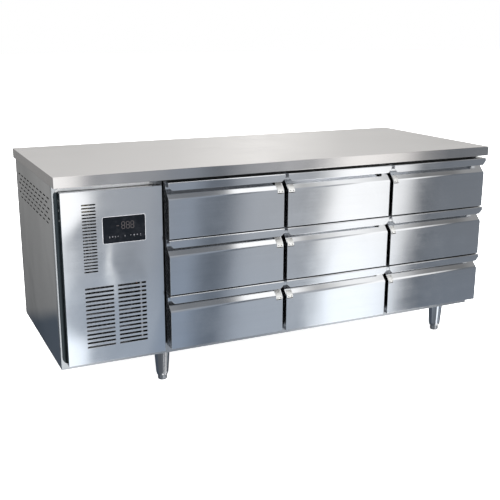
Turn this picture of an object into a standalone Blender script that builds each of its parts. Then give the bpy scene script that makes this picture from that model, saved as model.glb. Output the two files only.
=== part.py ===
"""Refrigerated under-counter cabinet with nine drawers, built as separate pieces.

Metres, +Z up. The origin is on the floor under the middle of the worktop, and the
drawers face -Y. Heights named BODY_* are measured from the floor; the drawer pieces
are modelled once in their own frame and placed nine times.
"""

import math

import bmesh
import bpy
from mathutils import Vector

# Overall size
WIDTH = 1.800
DEPTH = 0.745
HEIGHT = 0.823
LEG_HEIGHT = 0.125
GAP = 0.0003
SHEET = 0.002
THIN = 0.0015

# Worktop: a folded steel tray turned upside down
TOP_THICK = 0.0375
TOP_EDGE_BEVEL = 0.0012

# Cabinet body under the worktop
FRONT = -DEPTH / 2
FRAME_SETBACK = 0.065
BACK_SETBACK = 0.0105
SIDE_SETBACK = 0.0065
BODY_X = WIDTH / 2 - SIDE_SETBACK
BODY_FRONT = FRONT + FRAME_SETBACK
BODY_BACK = DEPTH / 2 - BACK_SETBACK
BODY_BOTTOM = LEG_HEIGHT
BODY_TOP = HEIGHT - TOP_THICK

# Front frame
FRAME_PLATE = 0.003
FRAME_DEPTH = 0.020
FRAME_BACK = BODY_FRONT + FRAME_DEPTH
COLLAR = 0.002

# Machine compartment at the left
BULKHEAD_X = -0.530
BAY_OPENING = (-0.8885, -0.532, 0.020, 0.649)
BAY_OPENING_RADIUS = 0.026

# Drawers: three columns of three
COLUMNS = 3
ROWS = 3
COLUMN_PITCH = 0.4695
COLUMN_FIRST_X = -0.2765
ROW_PITCH = 0.2065
ROW_FIRST_Z = BODY_BOTTOM + 0.038
FRONT_WIDTH = 0.453
FRONT_LOW = -0.0035
FRONT_HEIGHT = 0.1995
FRONT_BACK_Y = 0.0565
FACE_Y = 0.005
LIP_WIDTH = 0.457
LIP_HEIGHT = 0.029
LIP_THICK = 0.0025
LIP_TRIM = 0.015
LIP_ROUND = 0.0035
GROOVE_DEPTH_Y = 0.038
GROOVE_CEILING = FRONT_HEIGHT - 0.0025
CHAMFER_LOW = 0.137
SLOT_ENDS = ((1, 0.028), (-1, 0.028), (-1, 0.023))
SLOT_INSET = 0.0025
SLOT_Z = (0.1255, 0.1285)
OPENING_HALF = 0.1965
OPENING_LOW = 0.022
OPENING_HIGH = 0.174

# Drawer box and the runners it hangs on
BOX_HALF = 0.186
BOX_LOW = 0.030
BOX_HIGH = 0.165
BOX_BACK_Y = 0.600
RUNNER_HALF = 0.194
RUNNER_Z = (0.150, 0.153)
RUNNER_Y = (0.090, 0.600)
RACK_IN = 0.1885
RACK_OUT = 0.203
RACK_Y = (0.0885, 0.610)
RACK_SHELF_Z = (0.1465, 0.149)
RACK_GUARD_Z = (0.154, 0.1565)

# Refrigerated chamber
LINER_X = (COLUMN_FIRST_X - RACK_OUT - GAP, COLUMN_FIRST_X + 2 * COLUMN_PITCH + RACK_OUT + GAP)
LINER_BACK = FRONT + 0.6785
LINER_Z = (BODY_BOTTOM + 0.0555, BODY_BOTTOM + 0.6295)

# Service panel and its vents, x and height above the body's bottom
PANEL_X = (-0.872, -0.5155)
PANEL_Z = (0.018, 0.636)
PANEL_Y = (0.040, 0.0635)
UPPER_VENT_X = (-0.8015, -0.7535)
UPPER_VENT_TOP = 0.589
UPPER_VENT_ROWS = 22
UPPER_VENT_PITCH = 0.0112
UPPER_VENT_SLOT = 0.0052
LOWER_VENT_COLUMNS = ((-0.8025, -0.7008), (-0.6857, -0.5825))
LOWER_VENT_TOP = 0.293
LOWER_VENT_ROWS = 15
LOWER_VENT_PITCH = 0.0153
LOWER_VENT_SLOT = 0.0072
DISPLAY_X = (-0.731, -0.5805)
DISPLAY_Z = (0.449, 0.5405)

# Perforated side of the compartment
SIDE_SLOT = (0.036, 0.006)
SIDE_SLOT_PITCH = (0.059, 0.018)
SIDE_SLOT_ROWS = 6
SIDE_SLOT_COLUMNS = 10
SIDE_SLOT_START = (FRONT + 0.130, 0.606)

# Back vents and the gland that the mains cord enters through
BACK_VENT_X = (-0.850, -0.580)
BACK_VENT_ROWS = 12
BACK_VENT_TOP = 0.560
BACK_VENT_PITCH = 0.022
BACK_VENT_SLOT = 0.008
GLAND_AT = (-0.840, 0.060)

# Legs
LEG_X = (-0.503, 0.775)
LEG_Y = (FRONT + 0.120, FRONT + 0.625)
SLEEVE_TOP_R = 0.030
SLEEVE_LOW_R = 0.0235
SLEEVE_END_R = 0.0205
SLEEVE_LOW_Z = 0.031
SLEEVE_END_Z = 0.0205
BORE_R = 0.0180
FOOT_R = 0.0173
LEG_SEGMENTS = 24

# Condensing unit
FAN_X = -0.7275
FAN_Z = BODY_BOTTOM + 0.165
FAN_R = 0.098
FAN_HUB_R = 0.025
FAN_BLADES = 5
FAN_Y = (FRONT + 0.196, FRONT + 0.2315)
COMPRESSOR_AT = (-0.700, FRONT + 0.540)
COMPRESSOR_R = 0.078


def clear_scene():
    for obj in list(bpy.data.objects):
        bpy.data.objects.remove(obj, do_unlink=True)


def steel(name, colour, roughness, metallic=1.0):
    """A Principled material of its own for one piece."""
    made = bpy.data.materials.new(name)
    made.use_nodes = True
    shader = made.node_tree.nodes["Principled BSDF"]
    shader.inputs["Base Color"].default_value = (*colour, 1.0)
    shader.inputs["Roughness"].default_value = roughness
    shader.inputs["Metallic"].default_value = metallic
    return made


class Shape:
    """Points and faces of one or more closed bodies, before they become an object."""

    def __init__(self):
        self.points = []
        self.faces = []

    def add(self, points, faces):
        start = len(self.points)
        self.points.extend(Vector(p) for p in points)
        self.faces.extend(tuple(start + i for i in face) for face in faces)
        return self

    def box(self, low, high):
        corners = [
            (x, y, z) for z in (low[2], high[2]) for y in (low[1], high[1]) for x in (low[0], high[0])
        ]
        sides = [(0, 2, 3, 1), (4, 5, 7, 6), (0, 1, 5, 4), (1, 3, 7, 5), (3, 2, 6, 7), (2, 0, 4, 6)]
        return self.add(corners, sides)

    def prism(self, outline, axis, low, high):
        """The closed outline, in the other two axes in X, Y, Z order, extruded along axis."""
        count = len(outline)

        def at(pair, along):
            values = list(pair)
            values.insert(axis, along)
            return values

        points = [at(pair, low) for pair in outline] + [at(pair, high) for pair in outline]
        faces = [tuple(range(count)), tuple(range(count, 2 * count))]
        for i in range(count):
            j = (i + 1) % count
            faces.append((i, j, count + j, count + i))
        return self.add(points, faces)

    def lathe(self, profile, segments, axis, centre):
        """The (radius, height) profile turned about axis; a radius of 0 closes an end."""
        rows = []
        points = []
        for radius, height in profile:
            if radius == 0:
                rows.append([len(points)])
                points.append((0.0, 0.0, height))
                continue
            rows.append(list(range(len(points), len(points) + segments)))
            for i in range(segments):
                turn = 2 * math.pi * (i + 0.5) / segments
                points.append((radius * math.cos(turn), radius * math.sin(turn), height))
        faces = []
        for upper, lower in zip(rows, rows[1:]):
            for i in range(segments):
                j = (i + 1) % segments
                if len(upper) == 1:
                    faces.append((upper[0], lower[i], lower[j]))
                elif len(lower) == 1:
                    faces.append((upper[i], lower[0], upper[j]))
                else:
                    faces.append((upper[i], lower[i], lower[j], upper[j]))
        turned = [p if axis == 2 else (p[0], p[2], p[1]) for p in points]
        return self.add([Vector(p) + Vector(centre) for p in turned], faces)

    def tray(self, low, high, inner_low, inner_high, axis, side):
        """A box with a cavity that opens on the low (-1) or high (+1) side of axis."""
        shut = low[axis] if side > 0 else high[axis]
        mouth = high[axis] if side > 0 else low[axis]
        floor = inner_low[axis] if side > 0 else inner_high[axis]
        others = [i for i in range(3) if i != axis]

        def loop(a, b, along):
            corners = []
            for u, v in ((a, a), (b, a), (b, b), (a, b)):
                point = [0.0, 0.0, 0.0]
                point[others[0]] = u[others[0]]
                point[others[1]] = v[others[1]]
                point[axis] = along
                corners.append(point)
            return corners

        points = loop(low, high, shut) + loop(low, high, mouth)
        points += loop(inner_low, inner_high, mouth) + loop(inner_low, inner_high, floor)
        faces = [(0, 1, 2, 3), (12, 13, 14, 15)]
        for ring in range(3):
            for i in range(4):
                j = (i + 1) % 4
                faces.append((4 * ring + i, 4 * ring + j, 4 * ring + 4 + j, 4 * ring + 4 + i))
        return self.add(points, faces)

    def ring(self, low, high, inner_low, inner_high, axis):
        """A rectangular tube along axis."""
        others = [i for i in range(3) if i != axis]
        points = []
        for a, b, along in (
            (low, high, low[axis]),
            (low, high, high[axis]),
            (inner_low, inner_high, high[axis]),
            (inner_low, inner_high, low[axis]),
        ):
            for u, v in ((a, a), (b, a), (b, b), (a, b)):
                point = [0.0, 0.0, 0.0]
                point[others[0]] = u[others[0]]
                point[others[1]] = v[others[1]]
                point[axis] = along
                points.append(point)
        faces = []
        for ring in range(4):
            after = (ring + 1) % 4
            for i in range(4):
                j = (i + 1) % 4
                faces.append((4 * ring + i, 4 * ring + j, 4 * after + j, 4 * after + i))
        return self.add(points, faces)

    def mesh(self, name):
        work = bmesh.new()
        vertices = [work.verts.new(p) for p in self.points]
        for face in self.faces:
            work.faces.new([vertices[i] for i in face])
        bmesh.ops.recalc_face_normals(work, faces=work.faces)
        made = bpy.data.meshes.new(name)
        work.to_mesh(made)
        work.free()
        return made


def rounded_outline(x0, z0, x1, z1, radius, steps=6):
    """A rectangle with quarter-circle corners."""
    outline = []
    for cx, cz, start in (
        (x1 - radius, z0 + radius, -0.5),
        (x1 - radius, z1 - radius, 0.0),
        (x0 + radius, z1 - radius, 0.5),
        (x0 + radius, z0 + radius, 1.0),
    ):
        for i in range(steps + 1):
            turn = math.pi * (start + 0.5 * i / steps)
            outline.append((cx + radius * math.cos(turn), cz + radius * math.sin(turn)))
    return outline


def circle_outline(x, z, radius, segments):
    turns = [2 * math.pi * (i + 0.5) / segments for i in range(segments)]
    return [(x + radius * math.cos(t), z + radius * math.sin(t)) for t in turns]


def placed(name, mesh, look, at=(0.0, 0.0, 0.0), parent=None):
    obj = bpy.data.objects.new(name, mesh)
    bpy.context.scene.collection.objects.link(obj)
    obj.location = at
    obj.parent = parent
    if not mesh.materials:
        mesh.materials.append(look)
    return obj


def piece(name, shape, look, at=(0.0, 0.0, 0.0), parent=None):
    """An object whose origin is at, made from a shape in world coordinates."""
    mesh = shape.mesh(name)
    offset = Vector(at)
    for vertex in mesh.vertices:
        vertex.co -= offset
    return placed(name, mesh, look, at, parent)


def applied(obj, modifier):
    """Evaluates the modifier into the mesh and drops it."""
    graph = bpy.context.evaluated_depsgraph_get()
    made = bpy.data.meshes.new_from_object(obj.evaluated_get(graph))
    obj.modifiers.remove(modifier)
    old = obj.data
    made.name = old.name
    obj.data = made
    bpy.data.meshes.remove(old)


def boolean(obj, shape, operation):
    """Joins the shape to the object, or cuts it out, with the exact solver."""
    tool = bpy.data.objects.new("tool", shape.mesh("tool"))
    bpy.context.scene.collection.objects.link(tool)
    tool.hide_render = True
    tool.display_type = "WIRE"
    tool.matrix_world.translation = (0.0, 0.0, 0.0)
    modifier = obj.modifiers.new(operation.title(), "BOOLEAN")
    modifier.operation = operation
    modifier.solver = "EXACT"
    modifier.object = tool
    bpy.context.view_layer.update()
    applied(obj, modifier)
    bpy.data.objects.remove(tool, do_unlink=True)
    return obj


def cut(obj, shape):
    return boolean(obj, shape, "DIFFERENCE")


def join(obj, shape):
    return boolean(obj, shape, "UNION")


def bevelled(obj, width, segments=2, angle=40.0):
    modifier = obj.modifiers.new("Bevel", "BEVEL")
    modifier.width = width
    modifier.segments = segments
    modifier.limit_method = "ANGLE"
    modifier.angle_limit = math.radians(angle)
    bpy.context.view_layer.update()
    applied(obj, modifier)
    return obj


def rounded_shading(obj):
    obj.data.shade_smooth()
    obj.data.set_sharp_from_angle(angle=math.radians(35))
    return obj


def column_x(column):
    return COLUMN_FIRST_X + column * COLUMN_PITCH


def row_z(row):
    """Bottom of the drawer fronts of a row, where row 0 is the top one."""
    return ROW_FIRST_Z + (ROWS - 1 - row) * ROW_PITCH


def build_worktop():
    look = steel("worktop", (0.60, 0.58, 0.56), 0.38)
    outer = (-WIDTH / 2, FRONT, BODY_TOP)
    outer_high = (WIDTH / 2, DEPTH / 2, HEIGHT)
    block = Shape().box(outer, outer_high)
    top = bevelled(piece("worktop", block, look), TOP_EDGE_BEVEL)
    hollow = Shape().box(
        (-WIDTH / 2 + SHEET, FRONT + SHEET, BODY_TOP + SHEET),
        (WIDTH / 2 - SHEET, DEPTH / 2 - SHEET, HEIGHT - SHEET),
    )
    mouth = Shape().box(
        (-BODY_X - GAP, BODY_FRONT - GAP, BODY_TOP - 0.01),
        (BODY_X + GAP, BODY_BACK + GAP, HEIGHT - 0.02),
    )
    cut(top, hollow)
    cut(top, mouth)


def side_slots():
    """Staggered rows of vent slots through the left side, read from the front edge back."""
    slots = Shape()
    for row in range(SIDE_SLOT_ROWS):
        shift = SIDE_SLOT_PITCH[0] / 2 if row % 2 else 0.0
        middle = BODY_BOTTOM + SIDE_SLOT_START[1] - row * SIDE_SLOT_PITCH[1]
        for column in range(SIDE_SLOT_COLUMNS - row % 2):
            y = SIDE_SLOT_START[0] + shift + column * SIDE_SLOT_PITCH[0]
            slots.box(
                (-BODY_X - 0.01, y - SIDE_SLOT[0] / 2, middle - SIDE_SLOT[1] / 2),
                (-BODY_X + 0.01, y + SIDE_SLOT[0] / 2, middle + SIDE_SLOT[1] / 2),
            )
    return slots


def build_casing():
    low = BODY_BOTTOM + SHEET + GAP
    high = BODY_TOP - GAP
    front = FRAME_BACK + GAP
    left = piece(
        "side_panel_left",
        Shape().box((-BODY_X, front, low), (-BODY_X + SHEET, BODY_BACK, high)),
        steel("side_panel_left", (0.42, 0.43, 0.43), 0.42),
    )
    cut(left, side_slots())
    piece(
        "side_panel_right",
        Shape().box((BODY_X - SHEET, front, low), (BODY_X, BODY_BACK, high)),
        steel("side_panel_right", (0.42, 0.43, 0.43), 0.42),
    )
    inside = BODY_X - SHEET - GAP
    back = piece(
        "back_panel",
        Shape().box((-inside, BODY_BACK - SHEET, low), (inside, BODY_BACK, high)),
        steel("back_panel", (0.55, 0.56, 0.57), 0.45),
    )
    vents = Shape()
    for row in range(BACK_VENT_ROWS):
        middle = BODY_BOTTOM + BACK_VENT_TOP - row * BACK_VENT_PITCH
        vents.box(
            (BACK_VENT_X[0], BODY_BACK - 0.01, middle - BACK_VENT_SLOT / 2),
            (BACK_VENT_X[1], BODY_BACK + 0.01, middle + BACK_VENT_SLOT / 2),
        )
    hole = circle_outline(GLAND_AT[0], BODY_BOTTOM + GLAND_AT[1], 0.0105, 16)
    vents.prism(hole, 1, BODY_BACK - 0.01, BODY_BACK + 0.01)
    cut(back, vents)
    piece(
        "base_panel",
        Shape().box((-BODY_X, front, BODY_BOTTOM), (BODY_X, BODY_BACK, BODY_BOTTOM + SHEET)),
        steel("base_panel", (0.50, 0.51, 0.52), 0.45),
    )


def build_front_frame():
    """A folded plate with a collar turned back round each opening."""
    high = BODY_TOP - GAP
    tray = Shape().tray(
        (-BODY_X, BODY_FRONT, BODY_BOTTOM),
        (BODY_X, FRAME_BACK, high),
        (-BODY_X + SHEET, BODY_FRONT + FRAME_PLATE, BODY_BOTTOM + SHEET),
        (BODY_X - SHEET, FRAME_BACK, high - SHEET),
        1,
        1,
    )
    frame = piece("front_frame", tray, steel("front_frame", (0.62, 0.63, 0.65), 0.35))
    collars = Shape()
    openings = Shape()
    x0, x1, z0, z1 = BAY_OPENING
    z0 += BODY_BOTTOM
    z1 += BODY_BOTTOM
    wide = 0.0035
    outer = rounded_outline(x0 - wide, z0 - wide, x1 + wide, z1 + wide, BAY_OPENING_RADIUS + wide)
    collars.prism(outer, 1, BODY_FRONT + 0.001, FRAME_BACK)
    openings.prism(
        rounded_outline(x0, z0, x1, z1, BAY_OPENING_RADIUS), 1, BODY_FRONT - 0.01, FRAME_BACK + 0.01
    )
    for column in range(COLUMNS):
        for row in range(ROWS):
            x = column_x(column)
            z = row_z(row)
            collars.box(
                (x - OPENING_HALF - COLLAR, BODY_FRONT + 0.001, z + OPENING_LOW - COLLAR),
                (x + OPENING_HALF + COLLAR, FRAME_BACK, z + OPENING_HIGH + COLLAR),
            )
            openings.box(
                (x - OPENING_HALF, BODY_FRONT - 0.01, z + OPENING_LOW),
                (x + OPENING_HALF, FRAME_BACK + 0.01, z + OPENING_HIGH),
            )
    join(frame, collars)
    cut(frame, openings)


def build_chamber():
    """Foam body, steel liner inside it, and the two uprights between the columns."""
    front = FRAME_BACK + GAP
    skin = GAP + THIN
    liner_low = (LINER_X[0] - THIN, front, LINER_Z[0] - THIN)
    liner_high = (LINER_X[1] + THIN, LINER_BACK + THIN, LINER_Z[1] + THIN)
    piece(
        "inner_liner",
        Shape().tray(
            liner_low,
            liner_high,
            (LINER_X[0], front, LINER_Z[0]),
            (LINER_X[1], LINER_BACK, LINER_Z[1]),
            1,
            -1,
        ),
        steel("inner_liner", (0.66, 0.67, 0.68), 0.38),
    )
    piece(
        "insulation_body",
        Shape().tray(
            (BULKHEAD_X, front, BODY_BOTTOM + SHEET + GAP),
            (BODY_X - SHEET - GAP, BODY_BACK - SHEET - GAP, HEIGHT - SHEET - GAP),
            (LINER_X[0] - skin, front, LINER_Z[0] - skin),
            (LINER_X[1] + skin, LINER_BACK + skin, LINER_Z[1] + skin),
            1,
            -1,
        ),
        steel("insulation_body", (0.80, 0.74, 0.55), 0.85, 0.0),
    )
    for number in range(1, COLUMNS):
        middle = column_x(number) - COLUMN_PITCH / 2
        half = COLUMN_PITCH / 2 - RACK_OUT - GAP
        low = (middle - half, FRONT + RACK_Y[0], LINER_Z[0] + GAP)
        high = (middle + half, FRONT + BOX_BACK_Y, LINER_Z[1] - GAP)
        inner_low = (low[0] + THIN, low[1] + THIN, low[2])
        inner_high = (high[0] - THIN, high[1] - THIN, high[2])
        piece(
            f"column_upright_{number}",
            Shape().ring(low, high, inner_low, inner_high, 2),
            steel(f"column_upright_{number}", (0.60, 0.61, 0.62), 0.40),
        )


def build_runner_racks():
    """One rack on each side of a column, with a C channel for each drawer."""
    for column in range(COLUMNS):
        for side, sign in (("left", -1), ("right", 1)):
            name = f"runner_rack_c{column + 1}_{side}"
            x = column_x(column)
            plate = sorted((x + sign * (RACK_OUT - SHEET), x + sign * RACK_OUT))
            rack = piece(
                name,
                Shape().box(
                    (plate[0], FRONT + RACK_Y[0], LINER_Z[0] + 0.0015),
                    (plate[1], FRONT + RACK_Y[1], LINER_Z[1] - 0.0015),
                ),
                steel(name, (0.55, 0.56, 0.57), 0.42),
            )
            shelves = Shape()
            reach = sorted((x + sign * RACK_IN, x + sign * (RACK_OUT - 0.001)))
            for row in range(ROWS):
                for low, high in (RACK_SHELF_Z, RACK_GUARD_Z):
                    shelves.box(
                        (reach[0], FRONT + RACK_Y[0] + 0.001, row_z(row) + low),
                        (reach[1], FRONT + RACK_Y[1] - 0.001, row_z(row) + high),
                    )
            join(rack, shelves)


def lip_round(inset, steps=3):
    """The rolled top edge of the lip as (y, z) points, from its front face to its top."""
    centre = (LIP_ROUND, FRONT_HEIGHT - LIP_ROUND)
    radius = LIP_ROUND - inset
    points = []
    for i in range(steps + 1):
        turn = 0.5 * math.pi * i / steps
        points.append((centre[0] - radius * math.cos(turn), centre[1] + radius * math.sin(turn)))
    return points


def drawer_front_mesh(slot_side, slot_reach):
    """Hollow pressed front: flat face, 45-degree chamfer under a hanging lip, open back window.

    A slot for the grip's end tab goes through the face near one end.
    """
    look = steel("drawer_front", (0.50, 0.53, 0.56), 0.32)
    chamfer_high = CHAMFER_LOW + GROOVE_DEPTH_Y - FACE_Y
    outline = [
        (FACE_Y, FRONT_LOW),
        (FRONT_BACK_Y, FRONT_LOW),
        (FRONT_BACK_Y, FRONT_HEIGHT),
        *reversed(lip_round(0.0)),
        (0.0, FRONT_HEIGHT - LIP_HEIGHT),
        (LIP_THICK, FRONT_HEIGHT - LIP_HEIGHT),
        (LIP_THICK, GROOVE_CEILING),
        (GROOVE_DEPTH_Y, GROOVE_CEILING),
        (GROOVE_DEPTH_Y, chamfer_high),
        (FACE_Y, CHAMFER_LOW),
    ]
    half = FRONT_WIDTH / 2
    front = piece("drawer_front", Shape().prism(outline, 0, -half, half), look)
    lip_low = FRONT_HEIGHT - LIP_HEIGHT
    lip = LIP_WIDTH / 2
    low_half = lip - LIP_TRIM
    outline = [
        (0.0002, lip_low + 0.0002),
        *lip_round(0.0002),
        (LIP_ROUND, GROOVE_CEILING),
        (LIP_THICK - 0.0002, GROOVE_CEILING - 0.0015),
        (LIP_THICK - 0.0002, lip_low + 0.0002),
    ]
    join(front, Shape().prism(outline, 0, -lip, lip))
    corners = Shape()
    for sign in (-1, 1):
        corners.prism(
            [
                (sign * low_half, lip_low),
                (sign * low_half, lip_low - 0.01),
                (sign * (lip + 0.01), lip_low - 0.01),
                (sign * (lip + 0.01), lip_low + LIP_TRIM + 0.01),
            ],
            1,
            -0.01,
            LIP_THICK + 0.004,
        )
    cut(front, corners)
    slope = THIN * math.sqrt(2)
    hollow = [
        (FACE_Y + THIN, FRONT_LOW + THIN),
        (FRONT_BACK_Y - THIN, FRONT_LOW + THIN),
        (FRONT_BACK_Y - THIN, FRONT_HEIGHT - THIN),
        (GROOVE_DEPTH_Y + THIN, FRONT_HEIGHT - THIN),
        (GROOVE_DEPTH_Y + THIN, chamfer_high + THIN - slope),
        (FACE_Y + THIN, CHAMFER_LOW + THIN - slope),
    ]
    cut(front, Shape().prism(hollow, 0, -half + THIN, half - THIN))
    window = Shape().box((-0.180, FRONT_BACK_Y - 0.005, 0.035), (0.180, FRONT_BACK_Y + 0.01, 0.160))
    cut(front, window)
    slot = sorted((slot_side * (half - SLOT_INSET), slot_side * (half - slot_reach)))
    behind = FACE_Y + 3 * THIN
    cut(front, Shape().box((slot[0], 0.0, SLOT_Z[0]), (slot[1], behind, SLOT_Z[1])))
    return front


def drawer_gasket_mesh():
    look = steel("drawer_gasket", (0.03, 0.03, 0.032), 0.75, 0.0)
    y0 = FRONT_BACK_Y + GAP
    y1 = FRAME_SETBACK - GAP
    ring = Shape().ring(
        (-0.221, y0, 0.003), (0.221, y1, 0.193), (-0.199, y0, 0.0195), (0.199, y1, 0.1765), 1
    )
    return piece("drawer_gasket", ring, look)


def drawer_box_mesh():
    look = steel("drawer_box", (0.64, 0.65, 0.66), 0.36)
    y0 = FRONT_BACK_Y + GAP
    box = piece(
        "drawer_box",
        Shape().tray(
            (-BOX_HALF, y0, BOX_LOW),
            (BOX_HALF, BOX_BACK_Y, BOX_HIGH),
            (-BOX_HALF + THIN, y0 + THIN, BOX_LOW + THIN),
            (BOX_HALF - THIN, BOX_BACK_Y - THIN, BOX_HIGH),
            2,
            1,
        ),
        look,
    )
    runners = Shape()
    for sign in (-1, 1):
        reach = sorted((sign * (BOX_HALF - 0.0008), sign * RUNNER_HALF))
        runners.box(
            (reach[0], RUNNER_Y[0], RUNNER_Z[0]), (reach[1], RUNNER_Y[1] - 0.0005, RUNNER_Z[1])
        )
    return join(box, runners)


def build_drawers():
    gasket, box = drawer_gasket_mesh(), drawer_box_mesh()
    for column in range(COLUMNS):
        front = drawer_front_mesh(*SLOT_ENDS[column])
        for row in range(ROWS):
            tag = f"c{column + 1}r{row + 1}"
            slide = bpy.data.objects.new(f"slide_{tag}", None)
            slide.location = (column_x(column), FRONT, row_z(row))
            bpy.context.scene.collection.objects.link(slide)
            for pattern in (front, gasket, box):
                look = pattern.data.materials[0].copy()
                name = f"{pattern.name}_{tag}"
                mesh = pattern.data.copy()
                mesh.materials.clear()
                look.name = name
                placed(name, mesh, look, parent=slide)
        bpy.data.objects.remove(front, do_unlink=True)
    for pattern in (gasket, box):
        bpy.data.objects.remove(pattern, do_unlink=True)


def build_service_panel():
    """Tray that stands proud of the frame, with two vents and a cut-out for the display."""
    low = (PANEL_X[0], FRONT + PANEL_Y[0], BODY_BOTTOM + PANEL_Z[0])
    high = (PANEL_X[1], FRONT + PANEL_Y[1], BODY_BOTTOM + PANEL_Z[1])
    tray = Shape().tray(
        low,
        high,
        (low[0] + THIN, low[1] + THIN, low[2] + THIN),
        (high[0] - THIN, high[1], high[2] - THIN),
        1,
        1,
    )
    panel = piece("service_panel", tray, steel("service_panel", (0.58, 0.60, 0.64), 0.30))
    returns = Shape()
    returns.box(
        (low[0] + 0.0001, high[1] - 0.004, low[2] + 0.020),
        (low[0] + THIN - 0.0001, high[1] + 0.040, high[2] - 0.020),
    )
    returns.box(
        (low[0] + 0.030, high[1] - 0.004, high[2] - THIN + 0.0001),
        (high[0] - 0.050, high[1] + 0.022, high[2] - 0.0001),
    )
    join(panel, returns)
    slots = Shape()
    y0 = low[1] - 0.01
    y1 = low[1] + 0.01
    for row in range(UPPER_VENT_ROWS):
        middle = BODY_BOTTOM + UPPER_VENT_TOP - row * UPPER_VENT_PITCH
        slots.box(
            (UPPER_VENT_X[0], y0, middle - UPPER_VENT_SLOT / 2),
            (UPPER_VENT_X[1], y1, middle + UPPER_VENT_SLOT / 2),
        )
    for x0, x1 in LOWER_VENT_COLUMNS:
        for row in range(LOWER_VENT_ROWS):
            middle = BODY_BOTTOM + LOWER_VENT_TOP - row * LOWER_VENT_PITCH
            slots.box(
                (x0, y0, middle - LOWER_VENT_SLOT / 2), (x1, y1, middle + LOWER_VENT_SLOT / 2)
            )
    slots.box(
        (DISPLAY_X[0] + 0.0087, y0, BODY_BOTTOM + DISPLAY_Z[0] + 0.0077),
        (DISPLAY_X[1] - 0.0087, y1, BODY_BOTTOM + DISPLAY_Z[1] - 0.0077),
    )
    cut(panel, slots)
    build_display(low[1])


def build_display(panel_face):
    x0, x1 = DISPLAY_X
    z0 = BODY_BOTTOM + DISPLAY_Z[0]
    z1 = BODY_BOTTOM + DISPLAY_Z[1]
    back = panel_face - GAP
    bezel = Shape().prism(rounded_outline(x0, z0, x1, z1, 0.004, 4), 1, back - 0.003, back)
    display = piece("controller_display", bezel, steel("controller_display", (0.01, 0.01, 0.015), 0.1, 0.0))
    housing = Shape().box((x0 + 0.009, back - 0.001, z0 + 0.008), (x1 - 0.009, back + 0.030, z1 - 0.008))
    join(display, housing)


def build_legs():
    """Tapered sleeves under the body, each with a foot that unscrews downwards."""
    top = BODY_BOTTOM - GAP
    for index, (x, y) in enumerate([(x, y) for x in LEG_X for y in LEG_Y]):
        tag = ("left", "right")[index // 2] + "_" + ("front", "rear")[index % 2]
        name = f"leg_sleeve_{tag}"
        profile = [
            (0.0, top - 0.001),
            (SLEEVE_TOP_R, top - 0.001),
            (SLEEVE_LOW_R, SLEEVE_LOW_Z),
            (SLEEVE_LOW_R - 0.0008, SLEEVE_LOW_Z - 0.004),
            (SLEEVE_END_R, SLEEVE_END_Z),
            (BORE_R, SLEEVE_END_Z),
            (BORE_R, 0.0750),
            (0.0, 0.0750),
        ]
        sleeve = piece(
            name,
            Shape().lathe(profile, LEG_SEGMENTS, 2, (x, y, 0.0)),
            steel(name, (0.55, 0.56, 0.57), 0.22),
        )
        plate = Shape().box((x - 0.040, y - 0.040, top - 0.003), (x + 0.040, y + 0.040, top))
        rounded_shading(join(sleeve, plate))
        name = f"leveling_foot_{tag}"
        profile = [
            (0.0, 0.0700),
            (FOOT_R, 0.0700),
            (FOOT_R, 0.0030),
            (FOOT_R - 0.0018, 0.0),
            (0.0, 0.0),
        ]
        foot = Shape().lathe(profile, LEG_SEGMENTS, 2, (x, y, 0.0))
        rounded_shading(piece(name, foot, steel(name, (0.50, 0.50, 0.50), 0.28), at=(x, y, 0.0)))


def build_compressor():
    x, y = COMPRESSOR_AT
    z = BODY_BOTTOM + SHEET + 2 * GAP
    plate = Shape().box((x - 0.11, y - 0.095, z), (x + 0.11, y + 0.095, z + 0.003))
    body = piece("compressor", plate, steel("compressor", (0.02, 0.02, 0.022), 0.45, 0.3))
    r = COMPRESSOR_R
    profile = [
        (0.0, z + 0.186),
        (0.45 * r, z + 0.182),
        (0.80 * r, z + 0.166),
        (0.97 * r, z + 0.140),
        (r, z + 0.110),
        (1.05 * r, z + 0.106),
        (1.05 * r, z + 0.098),
        (r, z + 0.094),
        (0.97 * r, z + 0.050),
        (0.80 * r, z + 0.022),
        (0.55 * r, z + 0.010),
        (0.40 * r, z + 0.001),
        (0.0, z + 0.001),
    ]
    join(body, Shape().lathe(profile, 20, 2, (x, y, 0.0)))
    box = Shape().box((x - 0.115, y - 0.035, z + 0.055), (x - 0.060, y + 0.035, z + 0.125))
    rounded_shading(join(body, box))


def build_condenser():
    x0, x1 = FAN_X - 0.1275, FAN_X + 0.1275
    y0, y1 = FRONT + 0.125, FRONT + 0.175
    z0, z1 = BODY_BOTTOM + SHEET + 2 * GAP, FAN_Z + 0.135
    core = piece(
        "condenser",
        Shape().box((x0, y0, z0), (x1, y1, z1)),
        steel("condenser", (0.45, 0.45, 0.46), 0.50),
    )
    grooves = Shape()
    count = 14
    pitch = (x1 - x0 - 0.020) / count
    for i in range(count):
        x = x0 + 0.010 + (i + 0.5) * pitch
        for low, high in ((y0 - 0.01, y0 + 0.012), (y1 - 0.012, y1 + 0.01)):
            grooves.box((x - 0.3 * pitch, low, z0 + 0.008), (x + 0.3 * pitch, high, z1 - 0.008))
    cut(core, grooves)


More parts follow.
